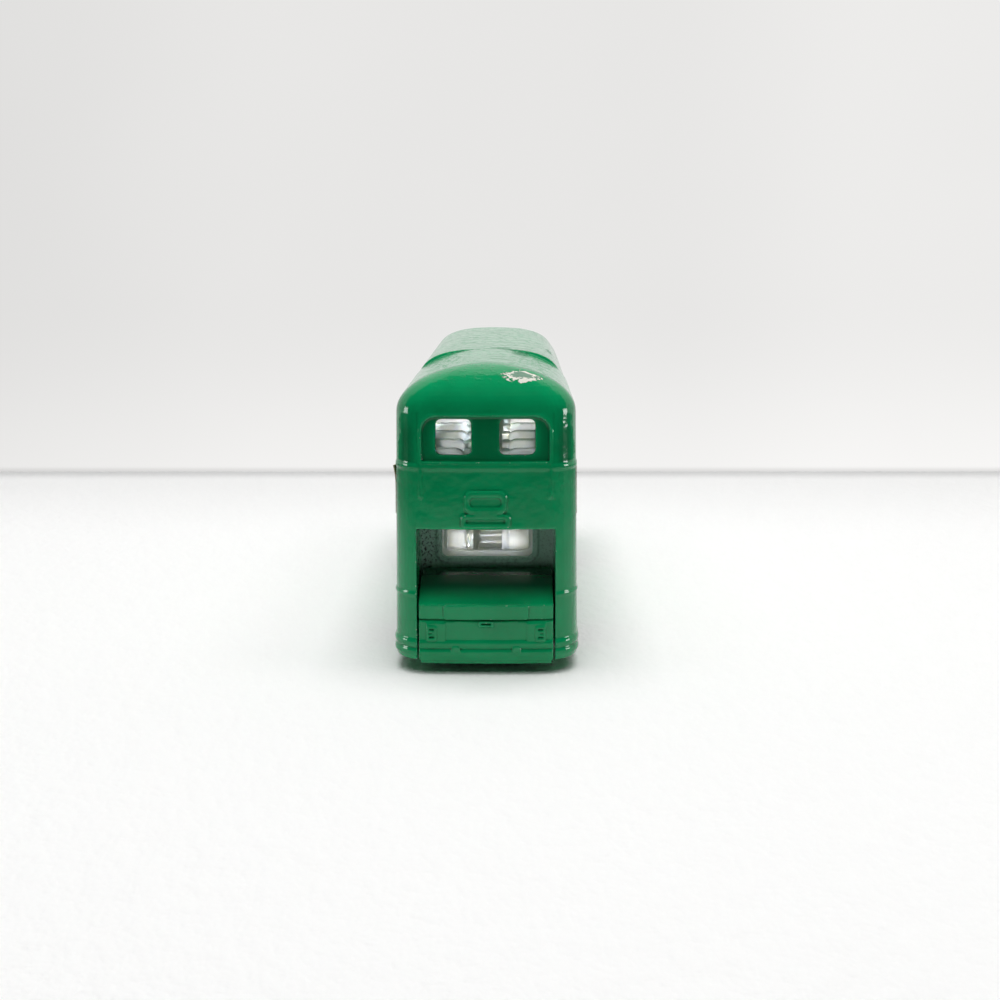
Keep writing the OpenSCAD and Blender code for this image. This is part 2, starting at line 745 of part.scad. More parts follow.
module base_casting() {
    color(enamel) difference() {
        union() {
            difference() {
                union() {
                    cover_block();
                    cover_pads();
                    cover_foot();
                }
                // The engine cover is hollow from below
                intersection() {
                    along_x(-cover_half + cover_wall, cover_half - cover_wall)
                        translate([cover_wall / 2, -cover_wall]) polygon(cover_points());
                    translate([-body_width / 2, rear_y + cover_wall + end_crown, -overrun])
                        cube([body_width, engine_bay_depth, roof_z]);
                }
            }
            difference() {
                intersection() {
                    wall_prism(wall + fit);
                    translate([-body_width / 2, bulkhead_y + bulkhead_thickness + fit, skirt_z])
                        cube([body_width, body_length, pan_thickness]);
                }
                for (y = [rear_axle_y, front_axle_y]) for (side = [-1, 1])
                    translate([side > 0 ? well_x : -well_x - body_width, y - arch_radius,
                        skirt_z - overrun])
                        cube([body_width, 2 * arch_radius, 2 * overrun]);
            }
            translate([-cover_half, bulkhead_y - cover_wall, skirt_z])
                cube([2 * cover_half, cover_wall + bulkhead_thickness + fit + weld, pan_thickness]);
            for (y = [rear_axle_y, front_axle_y]) for (side = [-1, 1])
                translate([side > 0 ? lug_out_x - lug_width : -lug_out_x, y - lug_half, pan_top - weld])
                    cube([lug_width, 2 * lug_half, axle_z + lug_top - pan_top + weld]);
            for (side = [-1, 1])
                translate([side * pan_rib_x - pan_rib_width / 2, rear_axle_y, pan_top - weld])
                    cube([pan_rib_width, wheelbase, pan_rib_height + weld]);
        }
        for (y = [rear_axle_y, front_axle_y])
            translate([-body_width / 2, y, axle_z]) rotate([0, 90, 0])
                cylinder(r = bore_radius, h = body_width, $fn = round_fn);
        for (y = [rear_post_y, front_post_y]) {
            translate([0, y, skirt_z - overrun])
                cylinder(r = shank_radius + post_hole_clearance, h = 2 * overrun, $fn = round_fn);
            translate([0, y, skirt_z - overrun])
                cylinder(r = rivet_recess_radius, h = overrun + rivet_recess, $fn = round_fn);
        }
        skin_recess(shut_line_depth) rear_pad()
            translate([-body_width / 2, shut_line_z]) square([body_width, shut_line]);
        skin_recess(brow_depth) rear_pad() {
            for (side = [-1, 1])
                translate([side * lamp_panel_x - lamp_panel_width / 2, lamp_panel_top])
                    square([lamp_panel_width, lamp_panel_drop / 2]);
            translate([0, shut_line_z - catch_height / 2])
                rounded(catch_slot_width, catch_slot_height, catch_slot_height / 3);
        }
        skin_recess(0) rear_pad()
            for (side = [-1, 1]) for (i = [0:lamp_slot_count - 1])
                translate([side * lamp_x, lamp_z + (i - (lamp_slot_count - 1) / 2) * lamp_slot_pitch])
                    square([lamp_slot_width, lamp_slot_height], center = true);
    }
}

module seat(outer_x, inner_x, height, cushion) {
    wide = abs(outer_x - inner_x);
    mid = (outer_x + inner_x) / 2;
    rotate([seat_rake, 0, 0]) along_y(0, seat_back)
        translate([mid, height / 2]) rounded(wide, height, seat_corner);
    translate([mid - wide / 2, 0, 0]) cube([wide, cushion_depth, cushion]);
}

module seat_pair(half, height) {
    for (side = [-1, 1]) {
        seat(side * half, side * aisle_half, height, cushion_height);
        translate([side > 0 ? aisle_half - end_post_width + weld : -aisle_half - weld, 0, 0])
            cube([end_post_width, end_post_depth, height - end_post_drop]);
    }
}

module lower_deck_seats() {
    half = half_width_at(lower_floor_z) - wall - deck_gap;
    color(plastic_white) difference() {
        union() {
            translate([-half, lower_rear, lower_floor_z])
                cube([2 * half, lower_front - lower_rear, floor_thickness]);
            for (i = [0:lower_rows - 1])
                translate([0, lower_first_row + i * lower_seat_pitch, lower_floor_top - weld])
                    seat_pair(lower_seat_half, lower_seat_height + weld);
            for (y = [lower_first_row + cushion_depth + aisle_rib_width : aisle_rib_pitch
                : stair_y + stair_length])
                translate([-aisle_half, y, lower_floor_top - weld])
                    cube([2 * aisle_half, aisle_rib_width, aisle_rib + weld]);
            // Staircase block that carries the upper deck
            translate([half - stair_width, stair_y, lower_floor_top - weld])
                cube([stair_width, stair_length, upper_floor_z - lower_floor_top + weld]);
            // Frame behind the bulkhead window, carried on two cheeks over the floor
            difference() {
                union() {
                    translate([-rear_frame_half, rear_frame_y, rear_frame_foot])
                        cube([2 * rear_frame_half, rear_frame_thickness,
                            upper_floor_z - deck_gap - rear_frame_foot]);
                    for (side = [-1, 1])
                        translate([side > 0 ? cheek_half - cheek_width : -cheek_half,
                            rear_frame_y, lower_floor_z])
                            cube([cheek_width, lower_rear + cushion_depth / 2 - rear_frame_y,
                                rear_frame_foot + cheek_rise - lower_floor_z]);
                }
                along_y(rear_frame_y - overrun, rear_frame_y + overrun)
                    translate([0, (bulkhead_window_sill + rear_frame_rim + upper_floor_z) / 2])
                    rounded(bulkhead_window_width - 2 * rear_frame_rim,
                        upper_floor_z - bulkhead_window_sill - rear_frame_rim - 2 * deck_gap,
                        window_radius);
            }
            // Cab partition behind the driver
            translate([aisle_half, lower_front - cab_depth, lower_floor_top - weld])
                cube([half - aisle_half, cab_depth, cab_height + weld]);
        }
        for (y = [rear_axle_y, front_axle_y]) for (side = [-1, 1])
            translate([side > 0 ? well_x - well_gap : -well_x + well_gap - body_width,
                y - arch_radius - well_gap, lower_floor_z - overrun])
                cube([body_width, 2 * (arch_radius + well_gap), roof_z]);
    }
}

module upper_deck_seats() {
    half = half_width_at(shoulder_z) - wall - deck_gap;
    color(plastic_white) union() {
        translate([-half, upper_rear, upper_floor_z])
            cube([2 * half, upper_front - upper_rear, floor_thickness]);
        for (i = [0:upper_rows - 1])
            translate([0, upper_first_row + i * upper_seat_pitch, upper_floor_top - weld])
                seat_pair(half - seat_wall_gap, upper_seat_height + weld);
    }
}

module axle() {
    along = wheel_out_x - hub_recess + side_play;
    color(steel) for (side = [0, 1])
        mirror([side, 0, 0]) rotate([0, 90, 0]) {
            cylinder(r = axle_radius, h = along + head_disc, $fn = round_fn);
            translate([0, 0, along]) cylinder(r = head_radius, h = head_disc, $fn = round_fn);
            translate([0, 0, along + head_disc])
                cylinder(r1 = head_radius, r2 = head_radius * head_dome_share, h = head_dome,
                    $fn = round_fn);
        }
}

module wheel() {
    color(black) difference() {
        rotate_extrude($fn = round_fn) difference() {
            polygon([[bore_radius, 0], [wheel_radius - tyre_chamfer, 0], [wheel_radius, tyre_chamfer],
                [wheel_radius, wheel_width - tyre_chamfer], [wheel_radius - tyre_chamfer, wheel_width],
                [bore_radius, wheel_width]]);
            translate([0, wheel_width - hub_recess]) square([rim_radius, overrun]);
            translate([hub_radius, -overrun])
                square([rim_radius - hub_radius, overrun + hub_back_recess]);
            translate([rim_groove_radius, wheel_width - rim_groove])
                square([rim_groove * 2, overrun]);
        }
        for (i = [0:tread_count - 1])
            rotate([0, 0, 360 * i / tread_count])
                translate([wheel_radius - tread_depth, -tread_width / 2,
                    wheel_width * (1 - tread_band_share) / 2])
                    cube([overrun, tread_width, wheel_width * tread_band_share]);
    }
}

module wheel_at(side, y) {
    translate([side * wheel_in_x, y, axle_z]) rotate([0, side * 90, 0]) wheel();
}

module side_label(side) {
    x = half_width_at(label_z) + glue_line;
    color(paper) translate([side * x, label_y, label_z]) rotate([0, -side * wall_draft, 0])
        translate([side > 0 ? 0 : -label_thickness, -label_length / 2, -label_height / 2])
            cube([label_thickness, label_length, label_height]);
}

body_shell();
base_casting();
lower_deck_seats();
upper_deck_seats();
translate([0, front_axle_y, axle_z]) axle();  // front_axle
translate([0, rear_axle_y, axle_z]) axle();  // rear_axle
wheel_at(-1, front_axle_y);  // front_left_wheel
wheel_at(1, front_axle_y);  // front_right_wheel
wheel_at(-1, rear_axle_y);  // rear_left_wheel
wheel_at(1, rear_axle_y);  // rear_right_wheel
side_label(-1);  // left_side_label
side_label(1);  // right_side_label
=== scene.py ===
import math

import bmesh
import bpy
import numpy as np
from mathutils import Matrix, Vector, noise


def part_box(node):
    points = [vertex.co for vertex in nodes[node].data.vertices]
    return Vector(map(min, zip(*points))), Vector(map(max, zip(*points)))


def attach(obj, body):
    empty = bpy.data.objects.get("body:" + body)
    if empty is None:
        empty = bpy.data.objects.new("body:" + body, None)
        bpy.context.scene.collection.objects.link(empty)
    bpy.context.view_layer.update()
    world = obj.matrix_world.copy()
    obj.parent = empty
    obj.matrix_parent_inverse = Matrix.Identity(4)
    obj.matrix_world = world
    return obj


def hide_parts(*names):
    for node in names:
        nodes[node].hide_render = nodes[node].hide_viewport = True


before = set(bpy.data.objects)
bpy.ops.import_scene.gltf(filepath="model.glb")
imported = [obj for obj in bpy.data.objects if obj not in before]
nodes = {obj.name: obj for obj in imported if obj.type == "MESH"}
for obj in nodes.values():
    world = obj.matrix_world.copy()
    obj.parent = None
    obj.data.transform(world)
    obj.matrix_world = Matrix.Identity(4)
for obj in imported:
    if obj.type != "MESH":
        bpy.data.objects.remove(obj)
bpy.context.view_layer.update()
scene = bpy.context.scene
scene.view_settings.view_transform = "Standard"
MM = 0.001
BODY = "bus_body"

# Camera, from the vanishing point of the bus's long edges in a 1000 pixel frame
FRAME_PX = 1000.0
FOCAL_PX = 1400.0
MIDDLE_PX = (500.0, 499.0)
VANISH_PX = (515.6, 239.8)
CAMERA_MM = (3.25, -186.26, 47.11)
SENSOR_MM = 36.0
CLIP_M = (0.005, 20.0)


def make_camera():
    """A camera in which the bus's long edges meet at the vanishing point."""
    # The bus's axes as the camera sees them: x to the right, y up, z away from it
    ahead = Vector(
        (
            (VANISH_PX[0] - MIDDLE_PX[0]) / FOCAL_PX,
            (MIDDLE_PX[1] - VANISH_PX[1]) / FOCAL_PX,
            1.0,
        )
    ).normalized()
    up = (Vector((0, 1, 0)) - ahead * ahead.y).normalized()
    side = up.cross(ahead)
    data = bpy.data.cameras.new("camera")
    data.sensor_width = SENSOR_MM
    data.lens = FOCAL_PX * SENSOR_MM / FRAME_PX
    data.clip_start, data.clip_end = CLIP_M
    cam = bpy.data.objects.new("camera", data)
    scene.collection.objects.link(cam)
    x_axis = Vector((side.x, ahead.x, up.x))
    y_axis = Vector((side.y, ahead.y, up.y))
    z_axis = -Vector((side.z, ahead.z, up.z))
    place = Matrix((x_axis, y_axis, z_axis)).transposed().to_4x4()
    place.translation = Vector(CAMERA_MM) * MM
    cam.matrix_world = place
    scene.camera = cam


make_camera()


# Node helpers for the procedural materials
class Graph:
    def __init__(self, name):
        self.mat = bpy.data.materials.new(name)
        self.mat.use_nodes = True
        self.tree = self.mat.node_tree
        self.tree.nodes.clear()
        self.out = self.tree.nodes.new("ShaderNodeOutputMaterial")
        self.shader = self.tree.nodes.new("ShaderNodeBsdfPrincipled")
        self.link(self.shader.outputs[0], self.out.inputs[0])
        self._mm = None

    def link(self, a, b):
        self.tree.links.new(a, b)

    def node(self, kind, **props):
        n = self.tree.nodes.new(kind)
        for k, v in props.items():
            setattr(n, k, v)
        return n

    def feed(self, value, socket):
        if isinstance(value, bpy.types.NodeSocket):
            self.link(value, socket)
        else:
            socket.default_value = value

    def set(self, name, value):
        self.feed(value, self.shader.inputs[name])

    def mm(self):
        """Object coordinates in millimetres of the bus's own frame."""
        if self._mm is None:
            coord = self.node("ShaderNodeTexCoord")
            scale = self.node("ShaderNodeVectorMath", operation="SCALE")
            self.link(coord.outputs["Object"], scale.inputs[0])
            scale.inputs["Scale"].default_value = 1000.0
            self._mm = scale.outputs[0]
        return self._mm

    def axis(self, i):
        sep = self.node("ShaderNodeSeparateXYZ")
        self.link(self.mm(), sep.inputs[0])
        return sep.outputs[i]

    def math(self, op, a, b=0.0, clamp=False):
        n = self.node("ShaderNodeMath", operation=op, use_clamp=clamp)
        self.feed(a, n.inputs[0])
        self.feed(b, n.inputs[1])
        return n.outputs[0]

    def times(self, first, *others):
        for other in others:
            first = self.math("MULTIPLY", first, other)
        return first

    def plus(self, first, *others):
        for other in others:
            first = self.math("ADD", first, other)
        return first

    def ramp(self, value, low, high, at_low=0.0, at_high=1.0):
        n = self.node("ShaderNodeMapRange", interpolation_type="SMOOTHSTEP", clamp=True)
        self.feed(value, n.inputs[0])
        for socket, v in zip(n.inputs[1:5], (low, high, at_low, at_high)):
            self.feed(v, socket)
        return n.outputs[0]

    def noise(self, scale, detail=2.0, rough=0.5, offset=(0, 0, 0), stretch=(1, 1, 1)):
        n = self.node("ShaderNodeTexNoise")
        shift = self.node("ShaderNodeMapping")
        self.link(self.mm(), shift.inputs[0])
        shift.inputs["Location"].default_value = offset
        shift.inputs["Scale"].default_value = stretch
        self.link(shift.outputs[0], n.inputs["Vector"])
        n.inputs["Scale"].default_value = scale
        n.inputs["Detail"].default_value = detail
        n.inputs["Roughness"].default_value = rough
        return n.outputs["Fac"]

    def cells(self, scale):
        """Distance from the nearest of many scattered points."""
        n = self.node("ShaderNodeTexVoronoi", feature="F1")
        self.link(self.mm(), n.inputs["Vector"])
        n.inputs["Scale"].default_value = scale
        return n.outputs["Distance"]

    def attribute(self, name):
        return self.node("ShaderNodeAttribute", attribute_name=name).outputs["Fac"]

    def mix(self, fac, a, b):
        n = self.node("ShaderNodeMix", data_type="RGBA")
        self.feed(fac, n.inputs[0])
        for colour, socket in ((a, n.inputs[6]), (b, n.inputs[7])):
            plain = not isinstance(colour, bpy.types.NodeSocket)
            self.feed((*colour, 1.0) if plain else colour, socket)
        return n.outputs[2]

    def bump(self, height, distance, strength=1.0, under=None):
        n = self.node("ShaderNodeBump")
        self.feed(height, n.inputs["Height"])
        n.inputs["Distance"].default_value = distance
        n.inputs["Strength"].default_value = strength
        if under is not None:
            self.link(under, n.inputs["Normal"])
        return n.outputs[0]

    def blob(self, centre, radii, wobble=None, amount=0.0):
        """Distance from the centre of an ellipsoid, 1 at its surface."""
        move = self.node("ShaderNodeVectorMath", operation="SUBTRACT")
        self.link(self.mm(), move.inputs[0])
        move.inputs[1].default_value = centre
        size = self.node("ShaderNodeVectorMath", operation="DIVIDE")
        self.link(move.outputs[0], size.inputs[0])
        size.inputs[1].default_value = radii
        length = self.node("ShaderNodeVectorMath", operation="LENGTH")
        self.link(size.outputs[0], length.inputs[0])
        d = length.outputs["Value"]
        if wobble is not None:
            d = self.plus(d, self.times(self.math("SUBTRACT", wobble, 0.5), amount))
        return d

    def show_front_only(self, shader):
        """Shows the shader on the front of the surface, which is see-through from behind."""
        clear = self.node("ShaderNodeBsdfTransparent")
        sides = self.node("ShaderNodeNewGeometry")
        pick = self.node("ShaderNodeMixShader")
        self.link(sides.outputs["Backfacing"], pick.inputs[0])
        self.link(shader, pick.inputs[1])
        self.link(clear.outputs[0], pick.inputs[2])
        self.link(pick.outputs[0], self.out.inputs[0])


# Colours of the enamel, of its wear and of the painted shade on it
GREEN = (0.002, 0.345, 0.123)
GREEN_DEEP = (0.0015, 0.3, 0.104)
THIN_GREEN = (0.05, 0.42, 0.22)
# Painted shade in the hollows, a little of it deeper enamel
HOLLOW_SHADE_GREEN = (0.0006, 0.07, 0.024)
SCUFF_GREEN = (0.003, 0.12, 0.048)
UNDERCOAT = (0.9, 0.88, 0.79)
CHIP_MIDDLE = (0.2, 0.34, 0.25)
BAY_DULL = (0.34, 0.54, 0.45)
BAY_SPECK = (0.012, 0.03, 0.022)
# Painted shade in the rear recess and round the rear corners
RECESS_SHADE_GREEN = (0.0008, 0.1, 0.034)
# Painted shadow of the overhang on the engine cover
COVER_SHADOW = (0.001, 0.03, 0.012)
NICK = (0.55, 0.64, 0.56)

# Places of wear and painted shadow in millimetres; a pair is where it starts and where it is
# full
ROOF_Z = (31.0, 32.8)
ROOF_SCUFFS = (
    ((1.4, -9.4, 33.8), (2.4, 2.6, 2.0)),
    ((3.8, -14.4, 33.4), (1.9, 5.2, 2.0)),
    ((7.7, 4.0, 32.2), (0.9, 4.5, 1.2)),
    ((0.0, -11.2, 33.6), (9.5, 1.0, 3.0)),
)
CHIP_AT, CHIP_RADII = (3.9, -34.8, 32.7), (2.1, 1.15, 1.15)
CHIP_MIDDLE_AT, CHIP_MIDDLE_RADII = (4.0, -34.7, 32.75), (1.5, 0.7, 0.7)
BAY_REAR_Y = (-30.6, -29.9)
BAY_FRONT_Y = (-27.6, -28.0)
BAY_TOP_Z = (17.6, 17.2)
BAY_SIDE_X = (8.4, 8.0)
BAY_LEFT_X = (-4.5, -7.0)
# Where the painted shadow lies on the engine cover
COVER_SHADOW_Y = (-36.6, -34.2)
COVER_SHADOW_Z = (6.4, 7.0)

# The rear's outer skin is where y + REAR_LEAN z + REAR_CROWN x x + REAR_Y is zero
REAR_LEAN = -0.01222
REAR_CROWN = -0.0051
REAR_Y = 37.818
# Where the painted shade lies in the rear recess and round the rear corners
RECESS_HALF_X = (7.55, 7.3)
RECESS_DEPTH, RECESS_TOP_Z = (0.1, 0.24), (29.2, 28.8)
CORNER_DEPTH, CORNER_TOP_Z = (0.0, 0.6), (29.8, 26.2)
RECESS_FOOT_Z = (23.3, 23.7)
RECESS_END_Y = (-35.2, -36.0)


def roof_wear(g, colour, rough, normal):
    """Worn, pitted paint on the roof, with scuffed spots along it."""
    roof = g.ramp(g.axis(2), *ROOF_Z)
    pits = g.ramp(g.noise(1.7, detail=4.0, rough=0.55, offset=(2, 4, 6)), 0.52, 0.72)
    normal = g.bump(g.times(pits, roof), 0.1 * MM, 0.45, normal)
    ragged = g.noise(1.7, detail=5.0, rough=0.68, offset=(7, 3, 5))
    scuffs = 0.0
    for centre, radii in ROOF_SCUFFS:
        near = g.ramp(g.blob(centre, radii), 0.4, 1.0, 1.0, 0.0)
        hit = g.ramp(g.times(near, ragged), 0.42, 0.66)
        scuffs = g.math("MAXIMUM", scuffs, hit)
    colour = g.mix(g.times(scuffs, 0.7), colour, SCUFF_GREEN)
    rough = g.plus(rough, g.times(scuffs, 0.3))
    return colour, rough, g.bump(scuffs, -0.3 * MM, 0.7, normal)


def large_chip(g, colour, rough, normal):
    """The large chip through to the pale undercoat, with dull green left in its middle."""
    edge = g.noise(1.9, detail=4.0, rough=0.65, offset=(11, 2, 8))
    chip = g.ramp(g.blob(CHIP_AT, CHIP_RADII, edge, 2.2), 0.88, 0.95, 1.0, 0.0)
    flakes = g.noise(1.5, detail=4.0, rough=0.65, offset=(6, 2, 7))
    far = g.blob(CHIP_MIDDLE_AT, CHIP_MIDDLE_RADII, flakes, 2.4)
    colour = g.mix(chip, colour, UNDERCOAT)
    colour = g.mix(g.ramp(far, 0.8, 0.95, 1.0, 0.0), colour, CHIP_MIDDLE)
    rough = g.plus(rough, g.times(chip, 0.45))
    return colour, rough, g.bump(chip, -0.4 * MM, 0.8, normal)


def bay_overspray(g, colour, rough, normal):
    """Thin dull overspray inside the engine bay, with most of its dark specks on the left."""
    x, y, z = (g.axis(i) for i in range(3))
    bay = g.times(g.ramp(y, *BAY_REAR_Y), g.ramp(z, *BAY_TOP_Z), g.ramp(y, *BAY_FRONT_Y),
                  g.ramp(g.math("ABSOLUTE", x), *BAY_SIDE_X))
    specks = g.ramp(g.noise(3.2, detail=4.0, rough=0.7, offset=(1, 1, 4)), 0.5, 0.62)
    share = g.plus(g.times(g.ramp(x, *BAY_LEFT_X), 0.7), 0.25)
    colour = g.mix(bay, colour, g.mix(g.times(specks, share), BAY_DULL, BAY_SPECK))
    return colour, g.plus(rough, g.times(bay, 0.5)), normal


def rear_recess_shade(g, colour, rough, normal):
    """Painted shade in the shallow rear recess and round the corners beside it."""
    x, y, z = (g.axis(i) for i in range(3))
    crown = g.times(x, x, REAR_CROWN)
    depth = g.plus(y, g.times(z, REAR_LEAN), g.plus(crown, REAR_Y))
    inside = g.ramp(g.math("ABSOLUTE", x), *RECESS_HALF_X)
    outside = g.math("SUBTRACT", 1.0, inside)
    recess = g.times(g.ramp(depth, *RECESS_DEPTH), g.ramp(z, *RECESS_TOP_Z))
    corner = g.times(g.ramp(depth, *CORNER_DEPTH), g.ramp(z, *CORNER_TOP_Z))
    recess_shade = g.plus(g.times(inside, recess), g.times(outside, corner))
    rear = g.times(g.ramp(z, *RECESS_FOOT_Z), g.ramp(y, *RECESS_END_Y))
    return g.mix(g.times(recess_shade, rear, 0.62), colour, RECESS_SHADE_GREEN), rough, normal


def paint_cover_shadow(g, colour, rough, normal):
    """Painted shadow of the overhang on the sheltered top of the engine cover."""
    overhang_shadow = g.times(g.ramp(g.axis(1), *COVER_SHADOW_Y), g.ramp(g.axis(2), *COVER_SHADOW_Z))
    return g.mix(g.times(overhang_shadow, 0.8), colour, COVER_SHADOW), rough, normal


def enamel(name, *wear_and_shade):
    """Gloss green enamel over a casting; the functions listed after the name age it or paint
    shade on it.
    """
    g = Graph(name)
    patches = g.ramp(g.noise(0.16, detail=3.0), 0.35, 0.65)
    colour = g.mix(patches, GREEN, GREEN_DEEP)
    # Enamel lies thin on the edges; hollows darker, partly deeper enamel but mostly painted
    # shade
    convex = g.attribute("convex")
    thin = g.ramp(convex, 0.05, 0.22)
    colour = g.mix(g.times(thin, 0.45), colour, THIN_GREEN)
    hollow_shade = g.ramp(convex, -0.02, -0.14)
    colour = g.mix(g.times(hollow_shade, 0.7), colour, HOLLOW_SHADE_GREEN)
    rough = g.ramp(g.noise(0.5, detail=4.0, offset=(3, 8, 1)), 0.3, 0.7, 0.07, 0.13)
    # Orange peel of the enamel and slow waviness of the casting
    peel = g.bump(g.noise(1.5), 0.06 * MM, 0.35)
    normal = g.bump(g.noise(0.32, offset=(5, 1, 9)), 0.5 * MM, 0.18, peel)
    for overlay in wear_and_shade:
        colour, rough, normal = overlay(g, colour, rough, normal)
    # Small nicks where edges stand out
    nick = g.ramp(g.noise(2.6, detail=3.0, rough=0.6, offset=(9, 9, 2)), 0.63, 0.67)
    nick = g.times(nick, g.ramp(convex, 0.08, 0.16))
    g.set("Base Color", g.mix(nick, colour, NICK))
    g.set("Roughness", g.math("ADD", rough, g.times(nick, 0.3), clamp=True))
    g.set("Normal", normal)
    g.set("IOR", 1.5)
    g.set("Specular IOR Level", 0.36)
    return g.mat


# Colours of the other materials
SEAT_WHITE, SEAT_CREAM = (0.90, 0.90, 0.85), (0.85, 0.85, 0.785)
SEAT_HOLLOW_TONE, SEAT_SPECK = (0.55, 0.52, 0.43), (0.3, 0.28, 0.22)
WHEEL_BLACK, WHEEL_DUST = (0.014, 0.014, 0.015), (0.035, 0.034, 0.032)
WHEEL_SCUFF = (0.09, 0.088, 0.082)
STEEL_DARK, STEEL_LIGHT = (0.5, 0.51, 0.52), (0.62, 0.62, 0.61)
RUST = (0.2, 0.12, 0.07)
PAPER_LIGHT, PAPER_DARK = (0.74, 0.66, 0.47), (0.66, 0.57, 0.39)
PAPER_STAIN, PAPER_EDGE = (0.5, 0.39, 0.22), (0.36, 0.26, 0.15)


def white_plastic(name):
    g = Graph(name)
    hollow = g.ramp(g.attribute("convex"), -0.02, -0.2)
    tone = g.ramp(g.noise(0.25, detail=3.0), 0.35, 0.7)
    colour = g.mix(tone, SEAT_WHITE, SEAT_CREAM)
    # Darker in the hollows
    colour = g.mix(g.times(hollow, 0.3), colour, SEAT_HOLLOW_TONE)
    specks = g.ramp(g.cells(0.9), 0.045, 0.03)
    g.set("Base Color", g.mix(g.times(specks, 0.5), colour, SEAT_SPECK))
    # Light soaks through the thin plastic
    g.set("Subsurface Weight", 1.0)
    g.set("Subsurface Radius", (1.0, 0.97, 0.85))
    g.set("Subsurface Scale", 2.2 * MM)
    g.set("Roughness", g.ramp(g.noise(0.9, detail=3.0), 0.3, 0.7, 0.34, 0.48))
    g.set("Normal", g.bump(g.noise(2.6), 0.05 * MM, 0.3))
    return g.mat


def black_plastic(name):
    g = Graph(name)
    dust = g.ramp(g.noise(1.2, detail=4.0), 0.45, 0.75)
    edges = g.ramp(g.attribute("convex"), 0.08, 0.25)
    scuff = g.times(edges, g.ramp(g.noise(2.2, detail=3.0), 0.4, 0.6))
    colour = g.mix(g.times(dust, 0.5), WHEEL_BLACK, WHEEL_DUST)
    g.set("Base Color", g.mix(g.times(scuff, 0.6), colour, WHEEL_SCUFF))
    sheen = g.noise(1.0, detail=3.0, offset=(4, 4, 4))
    g.set("Roughness", g.ramp(sheen, 0.3, 0.7, 0.32, 0.5))
    g.set("Normal", g.bump(g.noise(4.0), 0.04 * MM, 0.4))
    return g.mat


def axle_steel(name):
    g = Graph(name)
    drawn = g.noise(2.0, detail=4.0, rough=0.6, stretch=(0.12, 6.0, 6.0))
    colour = g.mix(drawn, STEEL_DARK, STEEL_LIGHT)
    rust = g.ramp(g.noise(1.4, detail=4.0, rough=0.6, offset=(6, 2, 2)), 0.6, 0.75)
    g.set("Base Color", g.mix(g.times(rust, 0.4), colour, RUST))
    g.set("Metallic", 1.0)
    g.set("Roughness", g.plus(g.ramp(drawn, 0.3, 0.7, 0.2, 0.34), g.times(rust, 0.3)))
    g.set("Normal", g.bump(drawn, 0.02 * MM, 0.4))
    return g.mat


def label_paper(name):
    g = Graph(name)
    fibre = g.noise(5.0, detail=4.0, rough=0.65, stretch=(1, 0.4, 1.6))
    stain = g.ramp(g.noise(0.18, detail=3.0, offset=(3, 3, 3)), 0.4, 0.75)
    colour = g.mix(fibre, PAPER_LIGHT, PAPER_DARK)
    colour = g.mix(g.times(stain, 0.45), colour, PAPER_STAIN)
    worn = g.attribute("edge")
    g.set("Base Color", g.mix(g.times(worn, 0.75), colour, PAPER_EDGE))
    g.set("Roughness", g.ramp(fibre, 0.3, 0.7, 0.4, 0.6))
    g.set("Normal", g.bump(fibre, 0.02 * MM, 0.5))
    return g.mat


# Pieces from the CAD nodes
SMOOTH_FACTOR = 0.5
WELD_M = 1e-7


def finish_piece(piece, body, slot, material, *replaced):
    piece.data.materials.clear()
    piece.data.materials.append(material)
    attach(piece, body)
    if replaced:
        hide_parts(*replaced)


def note_curvature(mesh):
    """Keeps how far each point stands out (+) or lies in a hollow (-) as an attribute."""
    n = len(mesh.vertices)
    co = np.empty(n * 3)
    no = np.empty(n * 3)
    mesh.vertices.foreach_get("co", co)
    mesh.vertices.foreach_get("normal", no)
    co, no = co.reshape(-1, 3), no.reshape(-1, 3)
    ends = np.empty(len(mesh.edges) * 2, dtype=np.int32)
    mesh.edges.foreach_get("vertices", ends)
    a, b = ends.reshape(-1, 2).T
    step = co[b] - co[a]
    size = np.maximum(np.linalg.norm(step, axis=1), 1e-9)
    ups = np.einsum("ij,ij->i", step, no[a]) / size
    downs = -np.einsum("ij,ij->i", step, no[b]) / size
    count = np.maximum(np.bincount(a, minlength=n) + np.bincount(b, minlength=n), 1)
    out = -(np.bincount(a, ups, n) + np.bincount(b, downs, n)) / count
    # Two rounds of averaging with the neighbours
    for _ in range(2):
        near = (np.bincount(a, out[b], n) + np.bincount(b, out[a], n)) / count
        out = near * 0.5 + out * 0.5
    layer = mesh.attributes.new("convex", "FLOAT", "POINT")
    layer.data.foreach_set("value", out.astype(np.float32))


def softened(node, name, voxel_mm, rounds, keep):
    """A copy of a CAD node with the soft edges of casting, moulding or thick enamel."""
    mesh = nodes[node].data.copy()
    made = bmesh.new()
    made.from_mesh(mesh)
    bmesh.ops.remove_doubles(made, verts=made.verts, dist=WELD_M)
    made.to_mesh(mesh)
    made.free()
    piece = bpy.data.objects.new(name, mesh)
    scene.collection.objects.link(piece)
    remesh = piece.modifiers.new("remesh", "REMESH")
    remesh.mode = "VOXEL"
    remesh.voxel_size = voxel_mm * MM
    remesh.use_smooth_shade = True
    smooth = piece.modifiers.new("smooth", "SMOOTH")
    smooth.factor = SMOOTH_FACTOR
    smooth.iterations = rounds
    fewer = piece.modifiers.new("fewer", "DECIMATE")
    fewer.ratio = keep
    graph = bpy.context.evaluated_depsgraph_get()
    soft = bpy.data.meshes.new_from_object(piece.evaluated_get(graph))
    piece.modifiers.clear()
    piece.data = soft
    soft.name = name
    soft.polygons.foreach_set("use_smooth", [True] * len(soft.polygons))
    note_curvature(soft)
    return piece


